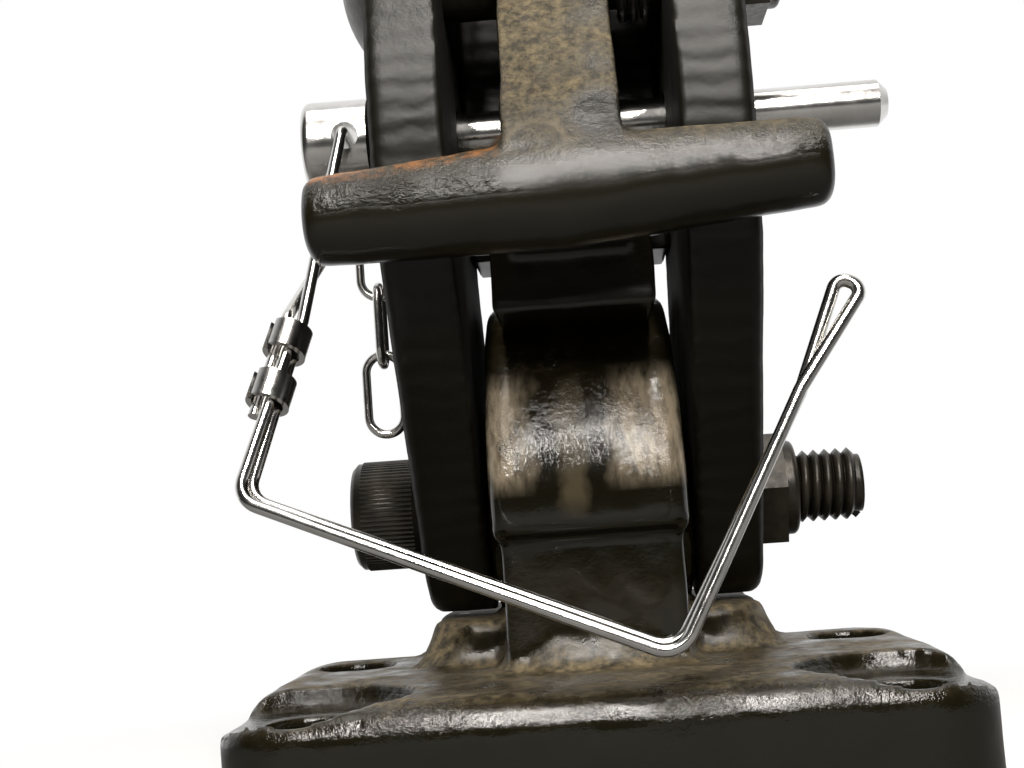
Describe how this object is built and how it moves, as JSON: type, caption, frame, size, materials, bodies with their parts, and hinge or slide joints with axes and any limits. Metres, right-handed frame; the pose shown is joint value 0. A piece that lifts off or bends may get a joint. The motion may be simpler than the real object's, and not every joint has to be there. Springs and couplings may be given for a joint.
{
  "type": "pintle ball combination hitch",
  "caption": "Flange mounted pintle hook with a tow ball on its horn, a hinged upper jaw, a T handled latch lever and a wire bail lock pin on a chain.",
  "frame": {"origin": "centre of the mounting face of the flange", "axes": "+Z away from the mounting face, along the pull; +X to the right as seen from the latch side; -Y towards the latch side, which faces the sky when the hitch is bolted to a vehicle"},
  "size_m": [0.11, 0.15, 0.1847],
  "materials": {
    "body_paint": "semi-gloss black paint over a cast skin",
    "jaw_paint": "semi-gloss black paint over flame cut steel",
    "lever_paint": "satin black paint, rust at the edges",
    "black_oxide": "oiled black oxide",
    "spring_steel": "bare drawn wire",
    "zinc_plate": "bright zinc plating",
    "nylon": "moulded nylon"
  },
  "bodies": {
    "base": {"hitch_body": "body_paint", "pivot_bolt": "black_oxide", "pivot_nut": "black_oxide", "pivot_nut_insert": "nylon"},
    "jaw": {"jaw_cheek_left": "jaw_paint", "jaw_cheek_right": "jaw_paint", "jaw_hook": "jaw_paint", "latch_pivot_bolt": "black_oxide", "latch_pivot_nut": "black_oxide", "latch_nut_insert": "nylon", "latch_spring": "spring_steel"},
    "lever": {"latch_lever": "lever_paint"},
    "chain": {"chain_end_link": "zinc_plate", "chain_links": "zinc_plate"},
    "pin": {"lock_pin": "zinc_plate"},
    "bail": {"bail_wire": "zinc_plate", "bail_ferrule_upper": "zinc_plate", "bail_ferrule_lower": "zinc_plate"}
  },
  "joints": [
    {"name": "jaw_hinge", "type": "hinge", "parent": "base", "child": "jaw", "pos_m": [0, 0.026, 0.045], "axis": [1, 0, 0], "range_deg": [0, 40]},
    {"name": "latch_hinge", "type": "hinge", "parent": "jaw", "child": "lever", "pos_m": [0, -0.006, 0.1305], "axis": [-1, 0, 0], "range_deg": [0, 40]},
    {"name": "chain_swing", "type": "hinge", "parent": "jaw", "child": "chain", "pos_m": [0, 0.008, 0.1085], "axis": [1, 0, 0], "range_deg": [-40, 0]},
    {"name": "pin_slide", "type": "slide", "parent": "chain", "child": "pin", "axis": [-1, 0, 0], "range_m": [0, 0.086]},
    {"name": "bail_swing", "type": "hinge", "parent": "pin", "child": "bail", "pos_m": [-0.0362, 0.008, 0.1085], "axis": [0, -1, 0], "range_deg": [0, 8]}
  ],
  "couplings": [
    {"joint": "chain_swing", "follows": "jaw_hinge", "ratio": -1}
  ]
}
